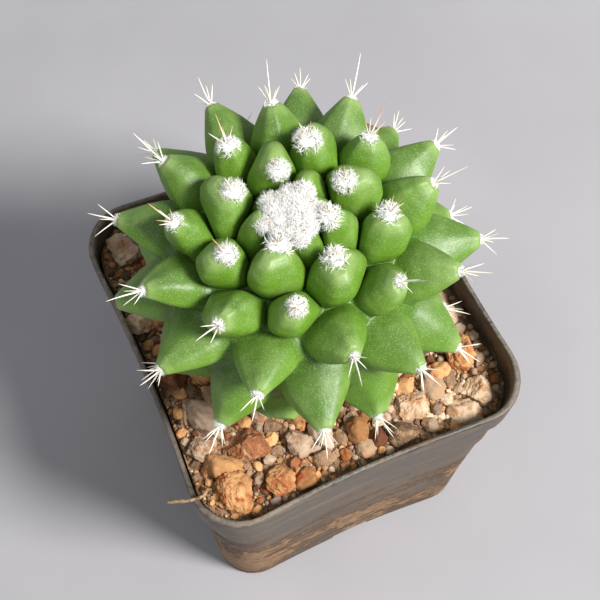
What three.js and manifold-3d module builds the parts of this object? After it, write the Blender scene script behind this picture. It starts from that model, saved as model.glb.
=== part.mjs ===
// A round, spiny cactus growing in a square plastic nursery pot.
// Millimetres, +Z up. The ground is z = 0 and the origin is the centre of the
// whole object's box, at ground level.
import * as THREE from 'three';
import { mergeVertices } from 'three/addons/utils/BufferGeometryUtils.js';
import Module from 'manifold-3d';

const wasm = await Module();
wasm.setup();

// ---- Driving dimensions ----------------------------------------------------

const GAP = 0.3;                       // clearance between pieces that touch
const WELD_DISTANCE = 1e-4;

// Pot: a thin blow-moulded square pot with a plain collar under its rim.
const POT_HEIGHT = 70;
const RIM_HALF_X = 33.9;
const RIM_HALF_Y = 36.2;
const BASE_HALF = 30.6;
const CORNER_RATIO = 0.28;             // corner radius over half the side
const SIDE_SAG = 0.028;                // how far a side bows in, over half the side
const WALL = 1.1;
const COLLAR_STEP = 0.9;               // how far the collar stands out
const COLLAR_BOTTOM = 61.2;
const COLLAR_SLOPE = 0.8;              // height over which the collar steps out
const LEDGE_Z = 46;
const LEDGE_STEP = 0.5;
const LEDGE_SLOPE = 0.7;
const FOOT_CHAMFER = 0.4;
const FOOT_CHAMFER_HEIGHT = 0.8;
const FLOOR_BOTTOM = 3.2;
const FLOOR_TOP = 4.4;
const FOOT_WIDTH = 3;
const DRAIN_RADIUS = 4.6;
const DRAIN_OFFSET = 15;
const NOTCH_WIDTH = 9;
const NOTCH_HEIGHT = 2.2;

// Soil: gritty, its surface dipping towards the +X wall.
const SOIL_TOP = 65.4;
const SOIL_DIP = 2.8;
const SOIL_GRID = 16;
const GRAIN_HEIGHT = 1.5;

// Cactus body. Tubercle n sits at an angle of n golden angles round the axis.
const PLANT_X = -0.6;
const PLANT_Y = 0.35;
const TIP_MID_Z = 91.1;                // height of the widest ring of tips
const TIP_RADIUS = 33.2;
const TIP_RISE = 20.2;                 // from the widest ring up to the crown
const PROFILE_POWER = 2 / 2.3;         // below 1 gives a squarer outline than an ellipse
const FIRST_ANGLE = 6.007;
const GOLDEN_ANGLE = Math.PI * (3 - Math.sqrt(5));
const TUBERCLE_COUNT = 51;
const TUBERCLE_SIDES = 6;
const SLOPE_SCALE = 0.015;             // how fast tubercles move down from the crown
const SLOPE_START = 0.6;
const SLOPE_POWER = 1.289;
const LEAN_BACK = -0.25;               // young tubercles stand more upright than the body
const LEAN_OUT = 0.18;                 // and old ones lie further out
const STEEPEST_LEAN = 1.72;            // the lowest point a little down
const OLD_SLOPE = 1.3;                 // slope by which a tubercle is full grown
const TUBERCLE_LENGTH = [8, 15];       // young and old, from inside the body to the tip
const TUBERCLE_WIDTH = [4.6, 7.0];     // young and old, radius at the foot
const CORE_SEGMENTS = 16;
const CORE_STEPS = 8;
const CORE_RADIUS = 24.5;
const CORE_TOP = 104;
const CORE_WIDEST = 87;
const CORE_BOTTOM = 68;
const NECK_RADIUS = 12;
const NECK_BOTTOM = 46;

// Wool and spines.
const FIRST_CLUSTER = 5;
const LAST_CLUSTER = 47;
const BARE_TUBERCLES = [38, 45];       // worn, spineless tubercles low down
const SPINES_PER_CLUSTER = 4;
const SPINE_RADIUS = 0.22;
const RADIAL_LENGTH = [3.2, 4.6];      // shortest and longest
const CENTRAL_NEW = 3;                 // the longest spine, beside the crown
const CENTRAL_PRIME = 8.4;             // and on the upper body
const CENTRAL_WORN = 5.4;              // and low down
const WOOL_OLD = 1.25;
const WOOL_YOUNG = 2.15;
const CROWN_RADIUS = 6.2;
const CROWN_FLATNESS = 0.4;
const CROWN_X = -1.2;                  // the felt leans off the body's axis
const CROWN_Y = -1.5;
const CROWN_BUMP = 2.0;

// Grit stones: place on the soil, size and how far each stands out of it.
const STONES = [
  { x: -25.2, y: -28.2, size: 3.7, sink: 0.42 },
  { x: -17.0, y: -29.4, size: 3.1, sink: 0.46 },
  { x: -20.2, y: -20.8, size: 3.8, sink: 0.42 },
  { x: -28.0, y: -17.6, size: 2.8, sink: 0.45 },
  { x: -10.8, y: -24.4, size: 2.9, sink: 0.45 },
  { x: 25.6, y: -19.8, size: 3.8, sink: 0.32 },
  { x: 11.8, y: -25.6, size: 3.6, sink: 0.6 },
  { x: -26.6, y: 27.4, size: 4.1, sink: 0.42 },
  { x: 26.0, y: -28.2, size: 2.9, sink: 0.5 },
  { x: 26.0, y: 27.0, size: 3.4, sink: 0.5 },
];

// ---- Small helpers ---------------------------------------------------------

/** A repeatable number from 0 to 1 for a pair of whole numbers. */
function chance(index, salt) {
  const value = Math.sin(index * 12.9898 + salt * 78.233) * 43758.5453;
  return value - Math.floor(value);
}

/** Straight-line blend from a to b. */
function mix(a, b, t) {
  return a + (b - a) * t;
}

/** Smooth 0 to 1 ramp while x goes from low to high. */
function ramp(low, high, x) {
  const t = Math.min(1, Math.max(0, (x - low) / (high - low)));
  return t * t * (3 - 2 * t);
}

/** A power that keeps its base's sign. */
function signedPower(base, power) {
  return Math.sign(base) * Math.abs(base) ** power;
}

/** A copy of a geometry with only its positions, its meeting corners shared. */
function weldedCopy(geometry) {
  const bare = geometry.clone();
  bare.deleteAttribute('normal');
  bare.deleteAttribute('uv');
  return mergeVertices(bare, WELD_DISTANCE);
}

/** A closed geometry as a solid that can be joined and cut. */
function toSolid(geometry) {
  const merged = weldedCopy(geometry);
  return new wasm.Manifold(new wasm.Mesh({
    numProp: 3,
    vertProperties: new Float32Array(merged.attributes.position.array),
    triVerts: new Uint32Array(merged.index.array),
  }));
}

/** A solid as a geometry with flat-shaded faces. */
function toGeometry(solid) {
  const mesh = solid.getMesh();
  const geometry = new THREE.BufferGeometry();
  geometry.setAttribute('position', new THREE.BufferAttribute(mesh.vertProperties, 3));
  geometry.setIndex(new THREE.BufferAttribute(mesh.triVerts, 1));
  geometry.computeVertexNormals();
  return geometry;
}

/** The largest separate lump of a solid. */
function largestLump(solid) {
  return solid.decompose().sort((a, b) => b.volume() - a.volume())[0];
}

// ---- Pot and soil ----------------------------------------------------------

/** A rounded square reaching from -1 to 1, its sides bowed in a little. */
function unitRoundedSquare() {
  const straight = 1 - CORNER_RATIO;
  const shape = new THREE.Shape();
  shape.moveTo(1, -straight);
  for (let side = 0; side < 4; side += 1) {
    const turn = (side * Math.PI) / 2;
    const spin = (x, y) => new THREE.Vector2(x, y).rotateAround(new THREE.Vector2(), turn);
    const bow = spin(1 - 2 * SIDE_SAG, 0);
    const sideEnd = spin(1, straight);
    const centre = spin(straight, straight);
    shape.quadraticCurveTo(bow.x, bow.y, sideEnd.x, sideEnd.y);
    shape.absarc(centre.x, centre.y, CORNER_RATIO, turn, turn + Math.PI / 2, false);
  }
  return shape;
}

/** A solid whose section is the rounded square, sized level by level. */
function squareLoft(levels) {
  const geometry = new THREE.ExtrudeGeometry(unitRoundedSquare(), {
    depth: levels.length - 1,
    steps: levels.length - 1,
    curveSegments: 3,
    bevelEnabled: false,
  });
  const position = geometry.attributes.position;
  for (let i = 0; i < position.count; i += 1) {
    const level = levels[Math.round(position.getZ(i))];
    position.setXYZ(i, position.getX(i) * level.x, position.getY(i) * level.y, level.z);
  }
  return toSolid(geometry);
}

/** Half sizes of the pot's outer wall at height z, without its collar. */
function wallHalf(z) {
  const t = z / POT_HEIGHT;
  return {
    x: mix(BASE_HALF, RIM_HALF_X - COLLAR_STEP, t),
    y: mix(BASE_HALF, RIM_HALF_Y - COLLAR_STEP, t),
  };
}

/** One level of the pot at height z, its wall moved out by offset. */
function potLevel(z, offset) {
  const half = wallHalf(z);
  return { z, x: half.x + offset, y: half.y + offset };
}

/** The moulded steps of the pot from a height up to the rim, moved out by offset. */
function potSteps(bottom, top, offset) {
  return [
    potLevel(bottom, offset - LEDGE_STEP),
    potLevel(LEDGE_Z, offset - LEDGE_STEP),
    potLevel(LEDGE_Z + LEDGE_SLOPE, offset),
    potLevel(COLLAR_BOTTOM, offset),
    potLevel(COLLAR_BOTTOM + COLLAR_SLOPE, offset + COLLAR_STEP),
    potLevel(top, offset + COLLAR_STEP),
  ];
}

function makePot() {
  const outer = squareLoft([
    potLevel(0, -LEDGE_STEP - FOOT_CHAMFER),
    ...potSteps(FOOT_CHAMFER_HEIGHT, POT_HEIGHT, 0),
  ]);
  const inner = squareLoft(potSteps(FLOOR_TOP, POT_HEIGHT + 1, -WALL));
  const recess = squareLoft([
    potLevel(-1, -LEDGE_STEP - FOOT_WIDTH),
    potLevel(FLOOR_BOTTOM, -LEDGE_STEP - FOOT_WIDTH),
  ]);
  let pot = outer.subtract(inner).subtract(recess);
  for (const [x, y] of [[1, 1], [-1, 1], [-1, -1], [1, -1]]) {
    const drain = new THREE.CylinderGeometry(DRAIN_RADIUS, DRAIN_RADIUS, 4, 12);
    drain.rotateX(Math.PI / 2).translate(x * DRAIN_OFFSET, y * DRAIN_OFFSET, FLOOR_TOP - 0.6);
    pot = pot.subtract(toSolid(drain));
  }
  for (const turn of [0, Math.PI / 2]) {
    const notch = new THREE.BoxGeometry(NOTCH_WIDTH, 4 * BASE_HALF, 2 * NOTCH_HEIGHT);
    pot = pot.subtract(toSolid(notch.rotateZ(turn)));
  }
  return pot;
}

/** Height of the soil's surface, before its grains. */
function soilHeight(x) {
  return SOIL_TOP - SOIL_DIP * ramp(-5, 30, x);
}

function makeSoil() {
  const filled = squareLoft(potSteps(FLOOR_TOP + GAP, POT_HEIGHT + 1, -WALL - GAP));
  const width = 2 * RIM_HALF_Y + 4;
  const slab = new THREE.BoxGeometry(width, width, POT_HEIGHT, SOIL_GRID, SOIL_GRID, 1);
  const position = slab.attributes.position;
  for (let i = 0; i < position.count; i += 1) {
    const x = position.getX(i);
    const y = position.getY(i);
    const cell = Math.round((x / width + 0.5) * SOIL_GRID) * 100
      + Math.round((y / width + 0.5) * SOIL_GRID);
    const grain = (chance(cell, 3) - 0.5) * GRAIN_HEIGHT;
    position.setZ(i, position.getZ(i) > 0 ? soilHeight(x) + grain : 0);
  }
  return filled.intersect(toSolid(slab));
}

/** A rough stone, its corners moved in and out. Extra grows it on every side. */
function makeStone(stone, index, extra) {
  const size = stone.size + extra;
  const lump = weldedCopy(new THREE.IcosahedronGeometry(1, 1));
  const position = lump.attributes.position;
  for (let i = 0; i < position.count; i += 1) {
    const swell = 0.84 + 0.3 * chance(index * 50 + i, 5);
    position.setXYZ(
      i,
      position.getX(i) * swell * size * (0.85 + 0.3 * chance(index, 6)),
      position.getY(i) * swell * size * (0.85 + 0.3 * chance(index, 7)),
      position.getZ(i) * swell * size * 0.8,
    );
  }
  lump.rotateZ(chance(index, 8) * Math.PI);
  const up = stone.size * 0.8 * (1 - 2 * stone.sink);
  return toSolid(lump).translate([stone.x, stone.y, soilHeight(stone.x) + up]);
}

// ---- Cactus ----------------------------------------------------------------

/** Where tubercle n is: its tip, the way it points, its length and its width. */
function tubercle(n) {
  const slope = SLOPE_SCALE * (n + SLOPE_START) ** SLOPE_POWER;
  const turn = FIRST_ANGLE + n * GOLDEN_ANGLE;
  const reach = TIP_RADIUS * Math.sin(slope) ** PROFILE_POWER;
  const height = TIP_MID_Z + TIP_RISE * signedPower(Math.cos(slope), PROFILE_POWER);
  const leaning = Math.min(
    STEEPEST_LEAN,
    slope + mix(LEAN_BACK, LEAN_OUT, ramp(0.2, 0.9, slope)),
  );
  const axis = new THREE.Vector3(Math.sin(leaning), 0, Math.cos(leaning))
    .applyAxisAngle(new THREE.Vector3(0, 0, 1), turn);
  const tip = new THREE.Vector3(reach * Math.cos(turn), reach * Math.sin(turn), height);
  const age = ramp(0, OLD_SLOPE, slope);
  return {
    tip,
    axis,
    age,
    length: mix(...TUBERCLE_LENGTH, age),
    width: mix(...TUBERCLE_WIDTH, ramp(0, 0.9, slope)),
  };
}

/** Turn and move a geometry that points along +Z to lie along a tubercle. */
function alongTubercle(geometry, place, start) {
  const forward = new THREE.Quaternion()
    .setFromUnitVectors(new THREE.Vector3(0, 0, 1), place.axis);
  return geometry.applyQuaternion(forward).translate(start.x, start.y, start.z);
}

/** One tubercle: a long rounded pyramid from inside the body out to its tip. */
function makeTubercle(n, extra) {
  const place = tubercle(n);
  const bluntness = mix(1.12, 0.92, place.age);
  const profile = [
    [0, 0],
    [1, 0.2],
    [0.92 * bluntness, 0.6],
    [0.5 * bluntness, 0.88],
    [0, 1],
  ].map(([across, along], i, all) => new THREE.Vector2(
    across === 0 ? 0 : across * place.width + extra,
    along * place.length + (i === all.length - 1 ? extra : 0),
  ));
  const body = new THREE.LatheGeometry(profile, TUBERCLE_SIDES);
  body.rotateX(Math.PI / 2);
  body.scale(1, -1, 1);
  flipFaces(body);
  body.rotateZ(Math.PI * chance(n, 1));
  const start = place.tip.clone().addScaledVector(place.axis, -place.length);
  return toSolid(alongTubercle(body, place, start));
}

/** Turn every face of an indexed geometry round. */
function flipFaces(geometry) {
  const index = geometry.index;
  for (let i = 0; i < index.count; i += 3) {
    const held = index.getX(i);
    index.setX(i, index.getX(i + 1));
    index.setX(i + 1, held);
  }
}

/** The body behind the tubercles, and the neck it stands on. */
function makeCore(extra) {
  const outline = [[0, NECK_BOTTOM - extra], [NECK_RADIUS * 0.45 + extra, NECK_BOTTOM - extra]];
  outline.push([NECK_RADIUS + extra, CORE_BOTTOM - 6]);
  for (let step = 0; step <= CORE_STEPS; step += 1) {
    const slope = mix(-0.8, 1, step / CORE_STEPS) * (Math.PI / 2);
    const rise = slope > 0 ? CORE_TOP - CORE_WIDEST : CORE_WIDEST - CORE_BOTTOM;
    const across = step === CORE_STEPS ? 0 : CORE_RADIUS * Math.cos(slope) + extra;
    outline.push([across, CORE_WIDEST + (rise + extra) * Math.sin(slope)]);
  }
  const points = outline.map(([across, z]) => new THREE.Vector2(across, z));
  return toSolid(new THREE.LatheGeometry(points, CORE_SEGMENTS).rotateX(Math.PI / 2));
}

/** The whole green body, with any pocket shut in between its tubercles filled. */
function makeStem(extra) {
  let stem = makeCore(extra);
  for (let n = 0; n < TUBERCLE_COUNT; n += 1) {
    stem = stem.add(makeTubercle(n, extra));
  }
  return largestLump(stem);
}

/** One tapered spine pointing along +Z from the origin. */
function makeSpine(length, radius) {
  return new THREE.ConeGeometry(radius, length, 3).rotateX(Math.PI / 2).translate(0, 0, length / 2);
}

/** Length of a tubercle's longest spine: short when new, long in its prime, then worn. */
function centralLength(age) {
  const grown = mix(CENTRAL_NEW, CENTRAL_PRIME, ramp(0.05, 0.42, age));
  return mix(grown, CENTRAL_WORN, ramp(0.8, 1, age));
}

/** The wool tuft and fanned spines that crown one tubercle. */
function makeCluster(n) {
  const place = tubercle(n);
  const wool = mix(WOOL_YOUNG, WOOL_OLD, ramp(0.1, 0.7, place.age));
  const tuft = new THREE.SphereGeometry(wool, 5, 3).rotateX(Math.PI / 2);
  let cluster = toSolid(tuft);
  const spread = mix(0.45, 0.75, place.age);
  for (let k = 0; k < SPINES_PER_CLUSTER; k += 1) {
    const central = k === 0;
    const length = central ? centralLength(place.age) : mix(...RADIAL_LENGTH, chance(n, 20 + k));
    const spine = makeSpine(length, SPINE_RADIUS);
    const tilt = central ? 0.12 : spread * (0.8 + 0.4 * chance(n, 30 + k));
    spine.rotateY(tilt).rotateZ((k / (SPINES_PER_CLUSTER - 1) + chance(n, 9)) * 2 * Math.PI);
    cluster = cluster.add(toSolid(spine));
  }
  const geometry = toGeometry(cluster);
  return toSolid(alongTubercle(geometry, place, place.tip));
}

/** The felt of wool over the growing point, with a low bump for each young tubercle. */
function makeCrown(extra) {
  const apex = TIP_MID_Z + TIP_RISE;
  const dome = new THREE.SphereGeometry(CROWN_RADIUS + extra, 10, 5).rotateX(Math.PI / 2);
  dome.scale(1, 1, CROWN_FLATNESS + extra / CROWN_RADIUS);
  let crown = toSolid(dome.translate(CROWN_X, CROWN_Y, apex - 0.2));
  for (let n = 0; n < FIRST_CLUSTER; n += 1) {
    const { tip } = tubercle(n);
    const bump = new THREE.SphereGeometry(CROWN_BUMP + extra, 6, 4);
    const middle = [mix(CROWN_X, tip.x, 0.75), mix(CROWN_Y, tip.y, 0.75), apex + 0.6];
    crown = crown.add(toSolid(bump.translate(...middle)));
  }
  return crown;
}

/** A thin fibre that follows a curve through the given points. */
function makeFibre(points, radius, steps) {
  const section = new THREE.Shape();
  section.absarc(0, 0, radius, 0, 2 * Math.PI, false);
  const path = new THREE.CatmullRomCurve3(points.map((p) => new THREE.Vector3(...p)));
  return toSolid(new THREE.ExtrudeGeometry(section, {
    extrudePath: path,
    steps,
    curveSegments: 3,
  }));
}

// ---- Materials -------------------------------------------------------------

const FINISHES = {
  pot: { color: 0x2e2c2a, roughness: 0.55, metalness: 0 },
  soil: { color: 0x7a5a41, roughness: 0.95, metalness: 0 },
  stem: { color: 0x4d7f3a, roughness: 0.5, metalness: 0 },
  wool: { color: 0xf1efe8, roughness: 0.95, metalness: 0 },
  stone: { color: 0xb0825a, roughness: 0.9, metalness: 0 },
  fibre: { color: 0x9a7a52, roughness: 0.85, metalness: 0 },
};

/** A named mesh of a solid, with a material of its own. */
function makeMesh(name, solid, finish) {
  const material = new THREE.MeshStandardMaterial({ ...finish, flatShading: true });
  const mesh = new THREE.Mesh(toGeometry(solid), material);
  mesh.name = name;
  return mesh;
}

// ---- Assembly --------------------------------------------------------------

const plant = new THREE.Group();
plant.position.set(PLANT_X, PLANT_Y, 0);
const stem = makeStem(0);
const stemRoom = makeStem(GAP);
plant.add(makeMesh('cactus_stem', stem, FINISHES.stem));

const crown = largestLump(makeCrown(0).subtract(stemRoom));
const crownRoom = makeCrown(GAP);
plant.add(makeMesh('crown_wool', crown, FINISHES.wool));
for (let n = FIRST_CLUSTER; n <= LAST_CLUSTER; n += 1) {
  if (BARE_TUBERCLES.includes(n)) {
    continue;
  }
  const cluster = largestLump(makeCluster(n).subtract(stemRoom).subtract(crownRoom));
  const number = String(n).padStart(2, '0');
  plant.add(makeMesh(`spine_cluster_${number}`, cluster, FINISHES.wool));
}

const potted = new THREE.Group();
potted.add(makeMesh('nursery_pot', makePot(), FINISHES.pot));
let soil = makeSoil().subtract(stemRoom.translate([PLANT_X, PLANT_Y, 0]));
STONES.forEach((stone, index) => {
  soil = soil.subtract(makeStone(stone, index, GAP));
  const number = String(index + 1).padStart(2, '0');
  potted.add(makeMesh(`grit_stone_${number}`, makeStone(stone, index, 0), FINISHES.stone));
});
potted.add(makeMesh('potting_soil', largestLump(soil), FINISHES.soil));

const rootFibre = makeFibre([
  [-29.8, -26.2, 67.0], [-30.4, -26.8, 70.6], [-31.6, -28.2, 71.6],
  [-34.2, -27.8, 71.2], [-36.6, -27.0, 71.4], [-38.2, -26.2, 70.8],
], 0.35, 9);
potted.add(makeMesh('root_fibre', rootFibre, FINISHES.fibre));
const straw = makeFibre([[-29.4, -12.6, 67.4], [-28.9, -11.6, 70.2], [-28.2, -10.0, 72.4]], 0.45, 4);
potted.add(makeMesh('straw_bit', straw, FINISHES.fibre));

const group = new THREE.Group();
group.add(potted, plant);
const box = new THREE.Box3().setFromObject(group);
const middle = box.getCenter(new THREE.Vector3());
potted.position.set(-middle.x, -middle.y, 0);
plant.position.x -= middle.x;
plant.position.y -= middle.y;

export default group;
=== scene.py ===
"""A round, woolly cactus growing in a square plastic nursery pot.

Sizes are worked out in millimetres, in the row frame, and every finished mesh
is stored in metres.
"""

import logging
import math
import random
from dataclasses import dataclass, field
from enum import Enum
from typing import Callable, Iterable, Optional, Sequence

import bmesh
import bpy
from mathutils import Matrix, Quaternion, Vector, noise


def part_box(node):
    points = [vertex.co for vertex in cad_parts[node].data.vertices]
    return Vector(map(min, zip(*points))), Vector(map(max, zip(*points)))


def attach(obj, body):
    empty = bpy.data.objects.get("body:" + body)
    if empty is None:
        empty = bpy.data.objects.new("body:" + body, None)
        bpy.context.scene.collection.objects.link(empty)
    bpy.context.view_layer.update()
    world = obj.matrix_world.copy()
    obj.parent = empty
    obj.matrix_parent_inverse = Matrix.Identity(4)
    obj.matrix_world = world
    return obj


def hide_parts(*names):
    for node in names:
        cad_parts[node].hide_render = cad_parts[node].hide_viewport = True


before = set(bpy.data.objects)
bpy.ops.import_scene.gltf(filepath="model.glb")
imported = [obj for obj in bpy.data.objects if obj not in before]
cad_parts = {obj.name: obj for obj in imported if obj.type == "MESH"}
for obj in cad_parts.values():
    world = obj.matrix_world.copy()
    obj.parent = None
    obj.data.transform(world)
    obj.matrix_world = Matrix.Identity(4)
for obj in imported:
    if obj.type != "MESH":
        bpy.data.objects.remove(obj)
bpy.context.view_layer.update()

LOG = logging.getLogger("potted_cactus")
MM = 0.001
UP = Vector((0.0, 0.0, 1.0))
GOLDEN_ANGLE = math.pi * (3.0 - math.sqrt(5.0))
AIM_HEIGHT = 0.08
PLANT_OFFSET = Vector((-0.6, 0.35, 0.0))
WISPS_PER_TUFT = 80
TUFT_SEEDS = (2, 3, 4)
ROOT = "root"

Colour = tuple[float, float, float]


# ---- Small helpers ----------------------------------------------------------


def mix(low: float, high: float, share: float) -> float:
    """Blend from low to high in a straight line."""
    return low + (high - low) * share


def ramp(low: float, high: float, value: float) -> float:
    """Rise smoothly from 0 to 1 while value goes from low to high."""
    share = min(1.0, max(0.0, (value - low) / (high - low)))
    return share * share * (3.0 - 2.0 * share)


def signed_power(base: float, power: float) -> float:
    """Raise base to a power and keep its sign."""
    return math.copysign(abs(base) ** power, base)


def random_way(chance: random.Random) -> Vector:
    """A direction drawn evenly from all directions."""
    return Vector([chance.gauss(0.0, 1.0) for _ in range(3)]).normalized()


def turned_to(direction: Vector) -> Matrix:
    """Rotation that takes +Z onto a direction."""
    return UP.rotation_difference(direction).to_matrix().to_4x4()


def to_mesh(shape: bmesh.types.BMesh, name: str) -> bpy.types.Mesh:
    """Store a shape as a mesh and free it.

    Args:
        shape: The bmesh to store.
        name: The mesh's name.

    Returns:
        The mesh.
    """
    mesh = bpy.data.meshes.new(name)
    shape.to_mesh(mesh)
    shape.free()
    return mesh


def add_copy(
    shape: bmesh.types.BMesh, mesh: bpy.types.Mesh, matrix: Matrix
) -> list[bmesh.types.BMVert]:
    """Add a copy of a mesh to a shape.

    Args:
        shape: The bmesh that it is added to.
        mesh: The mesh to copy.
        matrix: Where the copy goes.

    Returns:
        The copy's corners.
    """
    first = len(shape.verts)
    shape.from_mesh(mesh)
    shape.verts.ensure_lookup_table()
    added = shape.verts[first:]
    for vert in added:
        vert.co = matrix @ vert.co
    return added


def extrude_ring(
    shape: bmesh.types.BMesh, edges: Sequence[bmesh.types.BMEdge]
) -> tuple[list[bmesh.types.BMVert], list[bmesh.types.BMEdge], list[bmesh.types.BMFace]]:
    """Extrude a ring of edges where it stands, and give its new corners, edges and faces.

    Args:
        shape: The bmesh that they belong to.
        edges: The ring of edges.

    Returns:
        The new corners, edges and faces.
    """
    grown = bmesh.ops.extrude_edge_only(shape, edges=edges)["geom"]
    verts = [part for part in grown if isinstance(part, bmesh.types.BMVert)]
    ring = [part for part in grown if isinstance(part, bmesh.types.BMEdge)]
    faces = [part for part in grown if isinstance(part, bmesh.types.BMFace)]
    return verts, ring, faces


def seen_from(turn: float, lift: float) -> Vector:
    """Direction towards a viewer at a turn from the front and a height, both in degrees."""
    turn, lift = math.radians(turn), math.radians(lift)
    return Vector((math.sin(turn) * math.cos(lift), -math.cos(turn) * math.cos(lift),
                   math.sin(lift)))


def finish_mesh(
    name: str,
    shape: bmesh.types.BMesh,
    materials: Sequence[bpy.types.Material],
    smooth: Optional[bool] = True,
) -> bpy.types.Object:
    """Turn a shape built in millimetres into a piece in metres.

    Args:
        name: The piece's name.
        shape: The finished bmesh, which is freed.
        materials: Its materials, in slot order.
        smooth: Whether its faces are shaded smooth; None leaves them as they are.

    Returns:
        The new object, linked to the scene and riding on the root body.
    """
    bmesh.ops.scale(shape, vec=(MM, MM, MM), verts=shape.verts)
    if smooth is not None:
        for face in shape.faces:
            face.smooth = smooth
    mesh = to_mesh(shape, name)
    for material in materials:
        mesh.materials.append(material)
    piece = bpy.data.objects.new(name, mesh)
    bpy.context.scene.collection.objects.link(piece)
    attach(piece, ROOT)
    return piece


# ---- Node graphs ------------------------------------------------------------


class NodeGraph:
    """A short way to write a procedural material."""

    def __init__(self, name: str) -> None:
        """Start an empty node material of that name.

        Args:
            name: The material's name.
        """
        self.material = bpy.data.materials.new(name)
        self.material.use_nodes = True
        self.tree = self.material.node_tree
        self.tree.nodes.clear()
        self.shader = self.tree.nodes.new("ShaderNodeBsdfPrincipled")
        output = self.tree.nodes.new("ShaderNodeOutputMaterial")
        self.tree.links.new(self.shader.outputs["BSDF"], output.inputs["Surface"])
        coordinates = self.tree.nodes.new("ShaderNodeTexCoord")
        self.place = coordinates.outputs["Object"]
        self.normal = coordinates.outputs["Normal"]

    def link(self, value: object, socket: bpy.types.NodeSocket) -> None:
        """Feed a socket from another socket, or set it to a plain value.

        Args:
            value: A socket, colour, vector or number.
            socket: The socket to feed.
        """
        if isinstance(value, bpy.types.NodeSocket):
            self.tree.links.new(value, socket)
        elif isinstance(value, tuple) and len(value) == 3 and socket.type == "RGBA":
            socket.default_value = (*value, 1.0)
        else:
            socket.default_value = value

    def set(self, **sockets: object) -> None:
        """Set or link the shader's sockets, named with _ for a space."""
        for name, value in sockets.items():
            self.link(value, self.shader.inputs[name.replace("_", " ")])

    def attribute(self, name: str) -> bpy.types.NodeSocket:
        """Colour of one of the piece's own attributes."""
        node = self.tree.nodes.new("ShaderNodeAttribute")
        node.attribute_name = name
        return node.outputs["Color"]

    def parts(self, vector: bpy.types.NodeSocket) -> tuple[bpy.types.NodeSocket, ...]:
        """The three numbers of a vector or colour."""
        node = self.tree.nodes.new("ShaderNodeSeparateXYZ")
        self.link(vector, node.inputs[0])
        return tuple(node.outputs)

    def stretched(self, scale: tuple[float, float, float]) -> bpy.types.NodeSocket:
        """Object coordinates stretched along each axis.

        Args:
            scale: How much closer the pattern lies along each axis.

        Returns:
            The coordinates.
        """
        node = self.tree.nodes.new("ShaderNodeMapping")
        self.link(self.place, node.inputs["Vector"])
        node.inputs["Scale"].default_value = scale
        return node.outputs["Vector"]

    def noise(
        self,
        size_mm: float,
        detail: float = 4.0,
        rough: float = 0.55,
        vector: Optional[bpy.types.NodeSocket] = None,
    ) -> bpy.types.NodeSocket:
        """Cloudy noise.

        Args:
            size_mm: About how large its blotches are.
            detail: How many finer layers it has.
            rough: How strong the finer layers are.
            vector: Coordinates to read, if not the plain object's.

        Returns:
            The noise, round one half.
        """
        node = self.tree.nodes.new("ShaderNodeTexNoise")
        self.link(vector or self.place, node.inputs["Vector"])
        node.inputs["Scale"].default_value = 1.0 / (size_mm * MM)
        node.inputs["Detail"].default_value = detail
        node.inputs["Roughness"].default_value = rough
        return node.outputs["Fac"]

    def cells(self, size_mm: float) -> bpy.types.NodeSocket:
        """Distance inside cells of about size_mm.

        Args:
            size_mm: About how wide a cell is.

        Returns:
            The distance to the nearest middle of a cell.
        """
        node = self.tree.nodes.new("ShaderNodeTexVoronoi")
        self.link(self.place, node.inputs["Vector"])
        node.inputs["Scale"].default_value = 1.0 / (size_mm * MM)
        return node.outputs["Distance"]

    def math(self, operation: str, first: object, second: object = 0.0) -> bpy.types.NodeSocket:
        """One arithmetic step.

        Args:
            operation: The step's name.
            first: First number.
            second: Second number.

        Returns:
            The result.
        """
        node = self.tree.nodes.new("ShaderNodeMath")
        node.operation = operation
        self.link(first, node.inputs[0])
        self.link(second, node.inputs[1])
        return node.outputs[0]

    def fade(
        self, value: object, low: float, high: float, start: float = 0.0, end: float = 1.0
    ) -> bpy.types.NodeSocket:
        """Smooth ramp from start to end while value goes from low to high.

        Args:
            value: The number that drives it.
            low: Where it starts.
            high: Where it ends.
            start: Result at the start.
            end: Result at the end.

        Returns:
            The result.
        """
        node = self.tree.nodes.new("ShaderNodeMapRange")
        node.interpolation_type = "SMOOTHSTEP"
        self.link(value, node.inputs["Value"])
        node.inputs["From Min"].default_value = low
        node.inputs["From Max"].default_value = high
        node.inputs["To Min"].default_value = start
        node.inputs["To Max"].default_value = end
        return node.outputs["Result"]

    def blend(self, share: object, first: object, second: object) -> bpy.types.NodeSocket:
        """Blend from the first colour to the second.

        Args:
            share: How much of the second colour shows.
            first: First colour.
            second: Second colour.

        Returns:
            The blended colour.
        """
        node = self.tree.nodes.new("ShaderNodeMix")
        node.data_type = "RGBA"
        self.link(share, node.inputs[0])
        self.link(first, node.inputs[6])
        self.link(second, node.inputs[7])
        return node.outputs[2]

    def facing(self, power: float) -> bpy.types.NodeSocket:
        """How squarely the surface faces straight up, from 0 to 1."""
        _, _, height = self.parts(self.normal)
        return self.math("POWER", self.math("MAXIMUM", height, 0.0), power)

    def bump(self, *layers: tuple[bpy.types.NodeSocket, float]) -> None:
        """Relief on the shader, each layer a height and its depth in millimetres."""
        normal = None
        for height, depth_mm in layers:
            node = self.tree.nodes.new("ShaderNodeBump")
            node.inputs["Strength"].default_value = 1.0
            node.inputs["Distance"].default_value = depth_mm * MM
            self.link(height, node.inputs["Height"])
            if normal is not None:
                self.link(normal, node.inputs["Normal"])
            normal = node.outputs["Normal"]
        self.link(normal, self.shader.inputs["Normal"])


# ---- Finishes ---------------------------------------------------------------


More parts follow.
